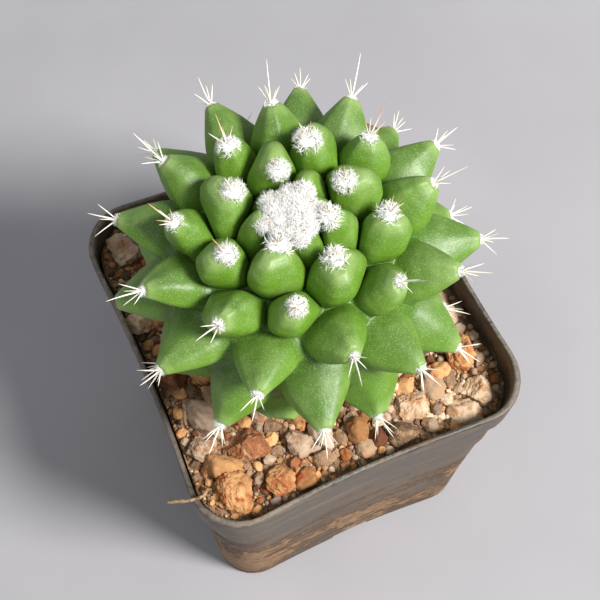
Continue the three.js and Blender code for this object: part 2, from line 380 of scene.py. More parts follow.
@dataclass(frozen=True)
class PotPlastic:
    """Thin black plastic, dulled by dust and stained by splashed soil."""

    black: Colour = (0.034, 0.030, 0.027)
    dust: Colour = (0.235, 0.180, 0.130)
    dark_mud: Colour = (0.165, 0.090, 0.045)
    mud: Colour = (0.30, 0.165, 0.080)
    pale_mud: Colour = (0.46, 0.285, 0.155)
    worn_edge: Colour = (0.30, 0.285, 0.27)
    height_mm: float = 70.0

    def material(self) -> bpy.types.Material:
        """Build the node material.

        Returns:
            The material.
        """
        graph = NodeGraph("pot_plastic")
        _, _, height = graph.parts(graph.place)
        level = graph.math("DIVIDE", height, self.height_mm * MM)
        streaks = graph.noise(15.0, 6.0, 0.62, graph.stretched((1.0, 1.0, 4.5)))
        fine = graph.noise(1.4, 5.0, 0.7, graph.stretched((1.0, 1.0, 2.0)))
        clouds = graph.noise(19.0, 5.0, 0.6, graph.stretched((1.0, 1.0, 1.8)))
        grains = graph.noise(2.6, 7.0, 0.78)
        dusty = graph.fade(graph.math("ADD", graph.math("MULTIPLY", streaks, 0.6),
                                      graph.math("MULTIPLY", fine, 0.4)), 0.36, 0.68)
        colour = graph.blend(graph.math("MULTIPLY", dusty, 0.85), self.black, self.dust)
        low_down = graph.fade(level, 0.95, 0.25)
        patchy = graph.math("ADD", graph.math("MULTIPLY", clouds, 0.62),
                            graph.math("MULTIPLY", grains, 0.38))
        patchy = graph.math("ADD", patchy, graph.math("MULTIPLY", low_down, 0.2))
        film = graph.fade(patchy, 0.52, 0.72)
        crust = graph.fade(patchy, 0.66, 0.74)
        colour = graph.blend(graph.math("MULTIPLY", film, 0.6), colour, self.dark_mud)
        mud = graph.blend(graph.fade(grains, 0.42, 0.66), self.mud, self.pale_mud)
        colour = graph.blend(graph.math("MULTIPLY", crust, 0.8), colour, mud)
        edge = graph.fade(level, 0.9945, 0.9985)
        scuffs = graph.fade(graph.noise(0.8, 4.0, 0.7), 0.4, 0.62)
        colour = graph.blend(graph.math("MULTIPLY", edge, graph.math("MULTIPLY", scuffs, 0.6)),
                             colour, self.worn_edge)
        rough = graph.math("MAXIMUM", dusty, film)
        graph.set(Base_Color=colour, Roughness=graph.fade(rough, 0.0, 1.0, 0.36, 0.85))
        graph.shader.inputs["Specular IOR Level"].default_value = 0.45
        graph.bump((clouds, 0.35), (fine, 0.05), (graph.math("MULTIPLY", crust, grains), 0.7))
        return graph.material


@dataclass(frozen=True)
class CactusSkin:
    """Waxy green skin, with painted shade in its creases and a painted highlight along its ridges,
    corky low on the body.
    """

    top_green: Colour = (0.075, 0.150, 0.026)
    side_green: Colour = (0.110, 0.235, 0.012)
    pale_green: Colour = (0.32, 0.44, 0.15)
    # Darker green, painted as shade in the valleys between tubercles.
    crease_shade_green: Colour = (0.050, 0.12, 0.008)
    cork: Colour = (0.21, 0.135, 0.065)

    def material(self) -> bpy.types.Material:
        """Build the node material.

        Returns:
            The material.
        """
        graph = NodeGraph("cactus_skin")
        rise, ridge, tint = graph.parts(graph.attribute("growth"))
        facing = graph.facing(1.6)
        blotch = graph.noise(5.0, 5.0, 0.6)
        colour = graph.blend(facing, self.side_green, self.top_green)
        colour = graph.blend(graph.fade(blotch, 0.45, 0.8, 0.0, 0.3), colour, self.pale_green)
        colour = graph.blend(graph.fade(rise, 0.75, 1.0, 0.0, 0.4), colour, self.pale_green)
        # Painted shade: the skin darkens low in the valleys between tubercles.
        colour = graph.blend(graph.fade(rise, 0.3, 0.0, 0.0, 0.9), colour, self.crease_shade_green)
        colour = graph.blend(graph.fade(tint, 0.2, 1.0, 0.0, 0.22), colour, self.side_green)
        # Painted highlight: pale green along the ridges of older tubercles, broken up by blotch
        # noise and kept off the valleys.
        ridge_highlight = graph.math("MULTIPLY", graph.fade(ridge, 0.55, 0.95), graph.fade(blotch, 0.4, 0.6))
        ridge_highlight = graph.math("MULTIPLY", ridge_highlight, graph.fade(rise, 0.15, 0.5))
        colour = graph.blend(graph.math("MULTIPLY", ridge_highlight, 0.5), colour, self.pale_green)
        specks = graph.fade(graph.cells(0.33), 0.34, 0.12, 0.0, 0.6)
        colour = graph.blend(specks, colour, self.pale_green)
        _, _, height = graph.parts(graph.place)
        low = graph.fade(graph.math("ADD", height, graph.math("MULTIPLY", blotch, 4.0 * MM)),
                         77.0 * MM, 70.0 * MM)
        colour = graph.blend(low, colour, self.cork)
        graph.set(Base_Color=colour, Roughness=graph.fade(blotch, 0.3, 0.7, 0.41, 0.56))
        graph.shader.inputs["Specular IOR Level"].default_value = 0.5
        graph.shader.inputs["Subsurface Weight"].default_value = 0.08
        graph.shader.inputs["Subsurface Radius"].default_value = (0.4, 1.0, 0.2)
        graph.shader.inputs["Subsurface Scale"].default_value = 1.2 * MM
        graph.bump((graph.noise(2.6, 3.0), 0.14), (graph.noise(0.5, 3.0), 0.03),
                   (graph.cells(0.33), 0.02))
        return graph.material


@dataclass(frozen=True)
class PlantWool:
    """White cottony wool."""

    white: Colour = (0.96, 0.955, 0.93)
    shade: Colour = (0.94, 0.93, 0.89)

    def material(self) -> bpy.types.Material:
        """Build the node material.

        Returns:
            The material.
        """
        graph = NodeGraph("plant_wool")
        graph.set(Base_Color=graph.blend(graph.fade(graph.noise(0.9), 0.35, 0.7), self.white,
                                         self.shade), Roughness=0.9)
        graph.shader.inputs["Sheen Weight"].default_value = 0.35
        graph.shader.inputs["Subsurface Weight"].default_value = 0.25
        graph.shader.inputs["Subsurface Radius"].default_value = (1.0, 1.0, 1.0)
        graph.shader.inputs["Subsurface Scale"].default_value = 0.6 * MM
        return graph.material


@dataclass(frozen=True)
class SpineHorn:
    """Pale horn that browns towards the point."""

    pale: Colour = (0.86, 0.83, 0.72)
    amber: Colour = (0.56, 0.30, 0.11)
    brown: Colour = (0.22, 0.10, 0.045)

    def material(self) -> bpy.types.Material:
        """Build the node material.

        Returns:
            The material.
        """
        graph = NodeGraph("spine_horn")
        along, amber, _ = graph.parts(graph.attribute("growth"))
        colour = graph.blend(graph.math("MULTIPLY", amber, graph.fade(along, 0.1, 0.7)),
                             self.pale, self.amber)
        colour = graph.blend(graph.fade(along, 0.72, 1.0), colour, self.brown)
        graph.set(Base_Color=colour, Roughness=graph.fade(graph.noise(0.5), 0.3, 0.7, 0.4, 0.55))
        return graph.material


@dataclass(frozen=True)
class GritMineral:
    """One kind of grit, its grains tinted one by one."""

    name: str
    dark: Colour
    light: Colour
    stain: Colour
    pits_mm: float = 0.35
    relief_mm: float = 0.12

    def material(self) -> bpy.types.Material:
        """Build the node material.

        Returns:
            The material.
        """
        graph = NodeGraph(self.name)
        tint, stained, _ = graph.parts(graph.attribute("growth"))
        grain = graph.noise(0.7, 5.0, 0.7)
        share = graph.math("ADD", graph.math("MULTIPLY", tint, 0.6),
                           graph.math("MULTIPLY", grain, 0.4))
        colour = graph.blend(graph.fade(share, 0.15, 0.85), self.dark, self.light)
        patch = graph.math("MULTIPLY", graph.fade(graph.noise(1.9, 4.0), 0.45, 0.68), stained)
        colour = graph.blend(patch, colour, self.stain)
        pits = graph.cells(self.pits_mm)
        # Painted shade: each grain darkens towards its dark tone in its pits.
        colour = graph.blend(graph.fade(pits, 0.25, 0.05, 0.0, 0.45), colour, self.dark)
        graph.set(Base_Color=colour, Roughness=graph.fade(grain, 0.3, 0.7, 0.82, 0.97))
        graph.shader.inputs["Specular IOR Level"].default_value = 0.25
        graph.bump((grain, self.relief_mm), (pits, self.relief_mm * 0.5))
        return graph.material


@dataclass(frozen=True)
class DryFibre:
    """Dead root or straw."""

    dark: Colour = (0.13, 0.075, 0.035)
    light: Colour = (0.42, 0.29, 0.15)

    def material(self) -> bpy.types.Material:
        """Build the node material.

        Returns:
            The material.
        """
        graph = NodeGraph("dry_fibre")
        patches = graph.noise(0.9, 4.0, 0.6)
        graph.set(Base_Color=graph.blend(graph.fade(patches, 0.35, 0.65), self.dark, self.light),
                  Roughness=graph.fade(patches, 0.3, 0.7, 0.7, 0.9))
        graph.bump((patches, 0.06))
        return graph.material


class Grit(Enum):
    """The kinds of grain in the soil mix."""

    FIRED_CLAY = GritMineral("grit_fired_clay", (0.27, 0.115, 0.04), (0.68, 0.38, 0.165),
                             (0.33, 0.085, 0.025))
    PUMICE = GritMineral("grit_pumice", (0.36, 0.245, 0.155), (0.72, 0.54, 0.37),
                         (0.46, 0.24, 0.11))
    GRANITE = GritMineral("grit_granite", (0.22, 0.15, 0.10), (0.54, 0.40, 0.285),
                          (0.30, 0.15, 0.07), 0.5, 0.08)
    LAVA = GritMineral("grit_lava", (0.12, 0.045, 0.022), (0.36, 0.135, 0.055),
                       (0.48, 0.25, 0.12), 0.45, 0.18)
    FINES = GritMineral("grit_fines", (0.11, 0.064, 0.036), (0.40, 0.25, 0.15),
                        (0.42, 0.26, 0.14), 0.3, 0.25)


# ---- Shared outlines and patterns -------------------------------------------


@dataclass(frozen=True)
class SquareOutline:
    """A rounded square reaching from -1 to 1 whose sides bow in a little."""

    corner: float = 0.28
    sag: float = 0.028

    def reach(self, angle: float) -> float:
        """Distance from the middle to the outline along an angle.

        Args:
            angle: The angle in radians.

        Returns:
            The distance.
        """
        across, along = sorted((abs(math.cos(angle)), abs(math.sin(angle))), reverse=True)
        straight = 1.0 - self.corner
        if along / across <= straight:
            return (1.0 - self.sag * (1.0 - (along / across / straight) ** 2)) / across
        total = straight * (across + along)
        return total + math.sqrt(total**2 - (2.0 * straight**2 - self.corner**2))


@dataclass(frozen=True)
class Tubercle:
    """Where one tubercle stands, in millimetres from the plant's axis."""

    number: int
    tip: Vector
    foot: Vector
    axis: Vector
    age: float
    wool: float


@dataclass(frozen=True)
class GrowthPattern:
    """The spiral that sets out tubercles, one golden angle after another."""

    first_angle: float = 6.007
    reach: float = 33.2
    mid_height: float = 91.1
    rise: float = 20.2
    squareness: float = 2.0 / 2.3
    slope_scale: float = 0.015
    slope_start: float = 0.6
    slope_power: float = 1.289
    spine_lean: tuple[float, float] = (-0.25, 0.18)
    flesh_lean: tuple[float, float] = (-0.45, 0.15)
    steepest: float = 1.72
    length: tuple[float, float] = (8.6, 6.8)
    wool: tuple[float, float] = (2.25, 1.1)
    full_grown: float = 1.3
    count: int = 51

    def tubercle(self, number: int) -> Tubercle:
        """Work out one tubercle.

        Args:
            number: Its place in the spiral, counted from the growing point.

        Returns:
            Its tip, foot and direction, its age from 0 to 1 and its wool's radius.
        """
        slope = self.slope_scale * (number + self.slope_start) ** self.slope_power
        turn = self.first_angle + number * GOLDEN_ANGLE
        out = self.reach * math.sin(slope) ** self.squareness
        height = self.mid_height + self.rise * signed_power(math.cos(slope), self.squareness)
        lean = min(self.steepest, slope + mix(*self.spine_lean, ramp(0.2, 0.9, slope)))
        stoop = min(self.steepest, slope + mix(*self.flesh_lean, ramp(0.15, 0.9, slope)))
        tip = Vector((out * math.cos(turn), out * math.sin(turn), height))
        age = ramp(0.0, self.full_grown, slope)
        return Tubercle(
            number,
            tip,
            tip - self.leaning(stoop, turn) * mix(*self.length, age),
            self.leaning(lean, turn),
            age,
            mix(*self.wool, ramp(0.1, 0.7, age)),
        )

    def leaning(self, lean: float, turn: float) -> Vector:
        """Direction that leans out from upright by an angle, on one side."""
        return Vector((math.sin(lean) * math.cos(turn), math.sin(lean) * math.sin(turn),
                       math.cos(lean)))


@dataclass(frozen=True)
class BodyProfile:
    """The valley surface that the tubercles rise from: a squarish ball on a buried neck."""

    radius: float = 24.4
    widest: float = 89.5
    crown: float = 13.6
    root: float = 15.5
    squareness: float = 0.68
    neck_start: float = 0.86
    neck_length: float = 19.0
    neck_taper: float = 0.3
    neck_cap: float = 0.2

    def point(self, direction: Vector) -> Vector:
        """Surface point for a direction on the unit sphere.

        Args:
            direction: A unit vector.

        Returns:
            The point, in millimetres.
        """
        across = math.hypot(direction.x, direction.y)
        turn = math.atan2(direction.y, direction.x)
        below = max(0.0, (-direction.z - self.neck_start) / (1.0 - self.neck_start))
        if below > 0.0:
            neck = math.sqrt(1.0 - self.neck_start**2) ** self.squareness
            out = self.radius * neck * (1.0 - self.neck_taper * below)
            out *= min(1.0, across / self.neck_cap)
            height = self.widest - self.root * self.neck_start**self.squareness
            height -= self.neck_length * below
        else:
            out = self.radius * across**self.squareness
            tall = self.crown if direction.z > 0.0 else self.root
            height = self.widest + tall * signed_power(direction.z, self.squareness)
        return Vector((out * math.cos(turn), out * math.sin(turn), height))

    def direction(self, point: Vector) -> Vector:
        """Unit-sphere direction that a point stands over.

        Args:
            point: A point near the surface, in millimetres.

        Returns:
            A unit vector.
        """
        tall = self.crown if point.z > self.widest else self.root
        across = (math.hypot(point.x, point.y) / self.radius) ** (1.0 / self.squareness)
        turn = math.atan2(point.y, point.x)
        lift = signed_power((point.z - self.widest) / tall, 1.0 / self.squareness)
        return Vector((across * math.cos(turn), across * math.sin(turn), lift)).normalized()


def sweep(
    shape: bmesh.types.BMesh,
    path: Sequence[Vector],
    radii: Sequence[float],
    sides: int,
    marks: Optional[Callable[[float], tuple[float, float, float, float]]] = None,
    material: int = 0,
) -> None:
    """Draw a round section along a path.

    Args:
        shape: The bmesh that it is added to.
        path: Points along its middle.
        radii: Its radius at each point.
        sides: Corners of its section.
        marks: Gives the growth attribute's value for a share of the length.
        material: Slot of its faces.
    """
    layer = shape.verts.layers.float_color.get("growth")
    before = Matrix.Translation(path[0]) @ turned_to(path[1] - path[0])
    made = bmesh.ops.create_circle(shape, cap_ends=True, segments=sides, radius=radii[0],
                                   matrix=before)
    ring = list(made["verts"])
    bottom = ring[0].link_faces[0]
    bottom.normal_flip()
    faces = {bottom}
    edges = list(bottom.edges)
    for step in range(len(path)):
        share = step / (len(path) - 1)
        if step > 0:
            ahead = path[min(step + 1, len(path) - 1)] - path[step - 1]
            ring, edges, sides_made = extrude_ring(shape, edges)
            faces.update(sides_made)
            after = Matrix.Translation(path[step]) @ turned_to(ahead)
            size = radii[step] / radii[step - 1]
            change = after @ Matrix.Diagonal((size, size, 1.0, 1.0)) @ before.inverted()
            bmesh.ops.transform(shape, matrix=change, verts=ring)
            before = after
        if layer is not None and marks is not None:
            for vert in ring:
                vert[layer] = marks(share)
    faces.update(bmesh.ops.edgeloop_fill(shape, edges=edges)["faces"])
    for face in faces:
        face.material_index = material
    bmesh.ops.recalc_face_normals(shape, faces=list(faces))


class BrokenLump:
    """The outline of a lump with broken faces and a crumbly surface, of about unit radius."""

    SIDE_OFFSET = (0.66, 0.98)
    BIGGEST = 1.12
    RELIEF = ((1.7, 0.14), (4.0, 0.10), (9.0, 0.06), (19.0, 0.035))

    def __init__(self, chance: random.Random, sides: int = 11, crumble: float = 1.0) -> None:
        """Draw the lump's faces.

        Args:
            chance: Source of random numbers.
            sides: How many flat faces are broken off it.
            crumble: How strong its surface relief is.
        """
        self.shift = Vector([chance.uniform(-50.0, 50.0) for _ in range(3)])
        self.crumble = crumble
        self.sides = []
        for _ in range(sides):
            way = random_way(chance)
            self.sides.append((way, chance.uniform(*self.SIDE_OFFSET)))

    def radius(self, way: Vector) -> float:
        """Distance from the middle to the surface along a direction.

        Args:
            way: A unit vector.

        Returns:
            The distance.
        """
        reach = self.BIGGEST
        for side, offset in self.sides:
            facing = way.dot(side)
            if facing > 0.1:
                reach = min(reach, offset / facing)
        relief = sum(depth * noise.noise(way * size + self.shift) for size, depth in self.RELIEF)
        return reach * (1.0 + relief * self.crumble)


# ---- Pot --------------------------------------------------------------------


@dataclass
class NurseryPot:
    """The square pot: tapered walls, a ledge, a collar, a foot ring and drain holes."""

    centre: Vector
    height: float = 70.0
    rim_half: tuple[float, float] = (33.9, 36.2)
    base_half: float = 30.6
    collar_step: float = 0.9
    drain_radius: float = 4.6
    drain_offset: float = 15.0
    notch_width: float = 9.0
    notch_height: float = 2.2
    drain_middle: float = 3.8
    drain_depth: float = 4.0
    cut_length: float = 90.0
    clearance: float = 0.02
    warp: float = 0.22
    wave: float = 0.25
    wave_start: float = 50.0
    segments: int = 144
    drain_segments: int = 40
    sharp_angle: float = math.radians(50.0)
    outline: SquareOutline = field(default_factory=SquareOutline)
    finish: PotPlastic = field(default_factory=PotPlastic)

    def half(self, height: float) -> tuple[float, float]:
        """Half sizes of the plain outer wall at a height.

        Args:
            height: Height in millimetres.

        Returns:
            The half sizes along X and Y.
        """
        share = height / self.height
        return (
            mix(self.base_half, self.rim_half[0] - self.collar_step, share),
            mix(self.base_half, self.rim_half[1] - self.collar_step, share),
        )

    def levels(self) -> list[tuple[float, float]]:
        """Heights and wall offsets from the floor's underside, round the rim, to the floor.

        Returns:
            Pairs of a height and an offset from the plain wall.
        """
        foot = [(3.2, -3.5), (0.3, -3.5), (0.0, -3.2), (0.0, -1.1), (0.3, -0.75), (0.9, -0.5)]
        lower = [(z, -0.5) for z in (12.0, 24.0, 36.0, 45.7)]
        ledge = [(46.1, -0.42), (46.4, -0.08), (46.8, 0.0)]
        middle = [(54.0, 0.0), (60.9, 0.0)]
        collar = [(61.25, 0.12), (61.6, 0.74), (61.95, 0.9), (65.6, 0.9), (69.3, 0.9)]
        rim = [(69.72, 0.84), (69.93, 0.66), (70.0, 0.42), (70.0, 0.18), (69.93, -0.02),
               (69.7, -0.16), (69.3, -0.2)]
        inside = [(65.0, -0.2), (62.2, -0.2), (61.5, -1.1), (52.0, -1.1), (47.0, -1.1),
                  (46.2, -1.6), (24.0, -1.6), (6.0, -1.6), (4.7, -1.9), (4.4, -2.6)]
        return foot + lower + ledge + middle + collar + rim + inside

    def place_ring(self, verts: Iterable[bmesh.types.BMVert], height: float, out: float) -> None:
        """Move one ring of corners onto the pot's outline at a height.

        Args:
            verts: The ring.
            height: Its height.
            out: How far it stands out of the plain wall.
        """
        half_x, half_y = self.half(height)
        for vert in verts:
            angle = math.atan2(vert.co.y, vert.co.x)
            reach = self.outline.reach(angle)
            across, along = math.cos(angle), math.sin(angle)
            warp = self.warp * noise.noise(Vector((across, along, height / 40.0)) * 1.6)
            lift = self.wave * noise.noise(Vector((across * 1.3, along * 1.3, 7.0)))
            near_rim = ramp(self.wave_start, self.height, height)
            vert.co = Vector((
                across * reach * (half_x + out + warp),
                along * reach * (half_y + out + warp),
                height + (lift - self.wave) * near_rim,
            ))

    def shell(self) -> bmesh.types.BMesh:
        """Loft the shell as one closed skin, before its holes are cut.

        Returns:
            The skin.
        """
        shape = bmesh.new()
        levels = self.levels()
        made = bmesh.ops.create_circle(shape, cap_ends=True, segments=self.segments, radius=1.0)
        ring = list(made["verts"])
        edges = list(shape.edges)
        shape.faces[:][0].normal_flip()
        angles = {vert: math.atan2(vert.co.y, vert.co.x) for vert in ring}
        for step, (height, out) in enumerate(levels):
            if step > 0:
                ring, edges, _ = extrude_ring(shape, edges)
                for vert in ring:
                    below = next(e.other_vert(vert) for e in vert.link_edges
                                 if e not in edges and e.other_vert(vert) in angles)
                    angles[vert] = angles[below]
            for vert in ring:
                vert.co = Vector((math.cos(angles[vert]), math.sin(angles[vert]), 0.0))
            self.place_ring(ring, height, out)
        bmesh.ops.edgeloop_fill(shape, edges=edges)
        bmesh.ops.recalc_face_normals(shape, faces=shape.faces)
        return shape

    def cutters(self) -> bmesh.types.BMesh:
        """Drain holes through the floor and notches through the foot ring.

        Returns:
            The shapes to cut out.
        """
        shape = bmesh.new()
        for x in (-1.0, 1.0):
            for y in (-1.0, 1.0):
                spot = Vector((x * self.drain_offset, y * self.drain_offset, self.drain_middle))
                bmesh.ops.create_cone(shape, cap_ends=True, segments=self.drain_segments,
                                      radius1=self.drain_radius, radius2=self.drain_radius,
                                      depth=self.drain_depth, matrix=Matrix.Translation(spot))
        tall = 2.0 * self.notch_height
        for size in ((self.notch_width, self.cut_length, tall),
                     (self.cut_length, self.notch_width, tall - self.clearance)):
            bmesh.ops.create_cube(shape, size=1.0, matrix=Matrix.Diagonal((*size, 1.0)))
        return shape

    def build(self) -> bpy.types.Object:
        """Make the pot and cut its holes.

        Returns:
            The finished piece.
        """
        material = self.finish.material()
        shell = self.shell()
        bmesh.ops.translate(shell, vec=self.centre, verts=shell.verts)
        rough = finish_mesh("pot_rough", shell, [material])
        tool_shape = self.cutters()
        bmesh.ops.translate(tool_shape, vec=self.centre, verts=tool_shape.verts)
        tool = finish_mesh("pot_tool", tool_shape, [material])
        cut = rough.modifiers.new("holes", "BOOLEAN")
        cut.operation = "DIFFERENCE"
        cut.solver = "EXACT"
        cut.use_self = True
        cut.object = tool
        graph = bpy.context.evaluated_depsgraph_get()
        mesh = bpy.data.meshes.new_from_object(rough.evaluated_get(graph))
        mesh.name = "square_pot"
        for helper in (rough, tool):
            bpy.data.objects.remove(helper)
        mesh.set_sharp_from_angle(angle=self.sharp_angle)
        pot = bpy.data.objects.new("square_pot", mesh)
        bpy.context.scene.collection.objects.link(pot)
        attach(pot, ROOT)
        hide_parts("nursery_pot")
        return pot


# ---- Soil -------------------------------------------------------------------


@dataclass
class SoilBed:
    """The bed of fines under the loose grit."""

    pot: NurseryPot
    top: float = 65.4
    dip: float = 2.8
    cells: int = 130
    bottom: float = 4.8
    rings: tuple[float, ...] = (58.0, 30.0)
    wall_gap: float = 0.35
    settled: float = 0.4
    lumps: tuple[tuple[float, float], ...] = ((6.5, 0.9), (2.6, 0.5), (0.9, 0.28))

    def height(self, x: float) -> float:
        """Height of the even surface, x measured from the pot's middle."""
        return self.top - self.dip * ramp(-5.0, 30.0, x)

    def surface(self, x: float, y: float) -> float:
        """Height of the lumpy surface at a spot, measured from the pot's middle."""
        spot = Vector((x, y, 0.0))
        relief = sum(tall * noise.noise(spot / wide) for wide, tall in self.lumps)
        return self.height(x) + relief - self.settled

    def inner_half(self, height: float) -> tuple[float, float]:
        """Half sizes of the space inside the pot's wall."""
        half_x, half_y = self.pot.half(height)
        inset = 0.2 if height > 62.0 else 1.6
        return half_x - inset - self.wall_gap, half_y - inset - self.wall_gap

    def build(self) -> bpy.types.Object:
        """Make the bed as one closed body that fills the pot.

        Returns:
            The finished piece.
        """
        shape = bmesh.new()
        layer = shape.verts.layers.float_color.new("growth")
        bmesh.ops.create_grid(shape, x_segments=self.cells, y_segments=self.cells, size=1.0)
        half_x, half_y = self.inner_half(self.top)
        for vert in shape.verts:
            angle = math.atan2(vert.co.y, vert.co.x)
            square = 1.0 / max(abs(math.cos(angle)), abs(math.sin(angle)))
            share = self.pot.outline.reach(angle) / square
            x, y = vert.co.x * share * half_x, vert.co.y * share * half_y
            vert.co = Vector((x, y, self.surface(x, y)))
            vert[layer] = (0.5 + 0.5 * noise.noise(vert.co / 3.0), 0.6, 0.0, 1.0)
        edges = [edge for edge in shape.edges if edge.is_boundary]
        for depth in (*self.rings, self.bottom):
            ring, edges, _ = extrude_ring(shape, edges)
            deep_x, deep_y = self.inner_half(depth)
            for vert in ring:
                vert.co = Vector((vert.co.x * deep_x / half_x, vert.co.y * deep_y / half_y, depth))
            half_x, half_y = deep_x, deep_y
        bmesh.ops.edgeloop_fill(shape, edges=edges)
        bmesh.ops.recalc_face_normals(shape, faces=shape.faces)
        bmesh.ops.translate(shape, vec=self.pot.centre, verts=shape.verts)
        bed = finish_mesh("soil_bed", shape, [Grit.FINES.value.material()])
        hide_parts("potting_soil")
        return bed


@dataclass(frozen=True)
class GrainSize:
    """One sieve size of loose grains."""

    smallest: float
    largest: float
    count: int
    detail: int
    buried: float


@dataclass
class LooseGrit:
    """Loose grains scattered over the bed, biggest first."""

    bed: SoilBed
    stem_room: float = 14.5
    seed: int = 11
    sizes: tuple[GrainSize, ...] = (
        GrainSize(1.8, 3.3, 95, 4, 0.35),
        GrainSize(0.9, 1.7, 360, 2, 0.25),
        GrainSize(0.45, 0.85, 1400, 2, 0.12),
        GrainSize(0.22, 0.42, 3000, 1, 0.05),
    )
    shapes_per_kind: int = 9
    coarse_detail: int = 2
    sides: int = 9
    coarse_crumble: float = 1.7
    pitch: float = 6.0
    overlap: float = 0.8
    tries: int = 4
    stained: float = 0.45
    half_height: float = 0.72
    bedding: float = 0.8

    def kind(self, chance: random.Random, x: float) -> Grit:
        """Draw a kind of grain: redder on the left of the bed, paler on the right, partly painted
        shade on the left and painted light on the right.

        Args:
            chance: Source of random numbers.
            x: Its place, measured from the pot's middle.

        Returns:
            The kind.
        """
        # Paler grains to the right: partly a change in the mix, partly painted light on the right
        # and painted shade on the left.
        right = ramp(-14.0, 16.0, x)
        shares = {
            Grit.FIRED_CLAY: mix(44.0, 22.0, right),
            Grit.PUMICE: mix(10.0, 44.0, right),
            Grit.GRANITE: mix(14.0, 20.0, right),
            Grit.LAVA: mix(16.0, 3.0, right),
            Grit.FINES: mix(16.0, 11.0, right),
        }
        return chance.choices(list(shares), weights=list(shares.values()))[0]

    def spots(self, chance: random.Random, taken: list[tuple[float, float, float]]
              ) -> list[tuple[Vector, float, GrainSize]]:
        """Find places for all grains.

        Args:
            chance: Source of random numbers.
            taken: Discs already filled by the large stones, as x, y and radius.

        Returns:
            Each grain's middle, radius and sieve size.
        """
        half_x, half_y = self.bed.inner_half(self.bed.top)
        found: list[tuple[Vector, float, GrainSize]] = []
        cells: dict[tuple[int, int], list[tuple[float, float, float]]] = {}

        def crowded(x: float, y: float, radius: float) -> bool:
            """Whether a disc would lie too far over a larger one.

            Args:
                x: Its middle along X.
                y: Its middle along Y.
                radius: Its radius.

            Returns:
                True if it would.
            """
            home = (int(x // self.pitch), int(y // self.pitch))
            for step_x in (-1, 0, 1):
                for step_y in (-1, 0, 1):
                    for near in cells.get((home[0] + step_x, home[1] + step_y), []):
                        room = self.overlap * (near[2] + radius)
                        if (x - near[0]) ** 2 + (y - near[1]) ** 2 < room * room:
                            return True
            return False

        def fill(x: float, y: float, radius: float) -> None:
            """Note that a disc is filled."""
            home = (int(x // self.pitch), int(y // self.pitch))
            cells.setdefault(home, []).append((x, y, radius))

        for disc in taken:
            fill(*disc)
        for size in self.sizes:
            for _ in range(size.count * self.tries):
                if sum(1 for entry in found if entry[2] is size) >= size.count:
                    break
                x = chance.uniform(-half_x, half_x)
                y = chance.uniform(-half_y, half_y)
                radius = chance.uniform(size.smallest, size.largest)
                angle = math.atan2(y / half_y, x / half_x)
                edge = self.bed.pot.outline.reach(angle)
                if math.hypot(x / half_x, y / half_y) > edge * (1.0 - radius / half_x):
                    continue
                if math.hypot(x, y) < self.stem_room or crowded(x, y, radius):
                    continue
                fill(x, y, radius)
                lift = radius * (self.half_height - size.buried) * self.bedding
                found.append((Vector((x, y, self.bed.surface(x, y) + lift)), radius, size))
        return found

    def pebble(self, detail: int, chance: random.Random) -> bpy.types.Mesh:
        """One grain of unit radius, to be copied.

        Args:
            detail: Fineness of the ball that it starts from.
            chance: Source of random numbers.

        Returns:
            Its mesh.
        """
        shape = bmesh.new()
        bmesh.ops.create_icosphere(shape, subdivisions=detail, radius=1.0)
        coarse = detail <= self.coarse_detail
        lump = BrokenLump(chance, self.sides, self.coarse_crumble if coarse else 1.0)
        for vert in shape.verts:
            way = vert.co.normalized()
            vert.co = way * lump.radius(way)
        bmesh.ops.scale(shape, verts=shape.verts, vec=(
            chance.uniform(0.9, 1.25), chance.uniform(0.85, 1.15), chance.uniform(0.7, 1.0)))
        for face in shape.faces:
            face.smooth = not coarse
        return to_mesh(shape, "pebble")

    def build(self, taken: list[tuple[float, float, float]]) -> list[bpy.types.Object]:
        """Scatter the grains, one piece for each kind.

        Args:
            taken: Discs filled by the large stones, as x, y and radius.

        Returns:
            The pieces.
        """
        chance = random.Random(self.seed)
        details = sorted({size.detail for size in self.sizes})
        moulds = {
            (kind, detail): [
                self.pebble(detail, chance) for _ in range(self.shapes_per_kind)
            ]
            for kind in Grit for detail in details
        }
        shapes = {}
        for kind in Grit:
            shapes[kind] = bmesh.new()
            shapes[kind].verts.layers.float_color.new("growth")
        for spot, radius, size in self.spots(chance, taken):
            kind = self.kind(chance, spot.x)
            shape = shapes[kind]
            layer = shape.verts.layers.float_color["growth"]
            mould = chance.choice(moulds[kind, size.detail])
            spin = Quaternion((1.0, 0.0, 0.0), chance.uniform(-0.5, 0.5))
            spin = Quaternion(UP, chance.uniform(0.0, math.tau)) @ spin
            place = Matrix.Translation(spot) @ spin.to_matrix().to_4x4() @ Matrix.Scale(radius, 4)
            mark = (chance.random(), float(chance.random() < self.stained), 0.0, 1.0)
            for vert in add_copy(shape, mould, place):
                vert[layer] = mark
        pieces = []
        for kind, shape in shapes.items():
            bmesh.ops.translate(shape, vec=self.bed.pot.centre, verts=shape.verts)
            name = "loose_" + kind.name.lower()
            piece = finish_mesh(name, shape, [kind.value.material()], None)
            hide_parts("potting_soil")
            pieces.append(piece)
        return pieces


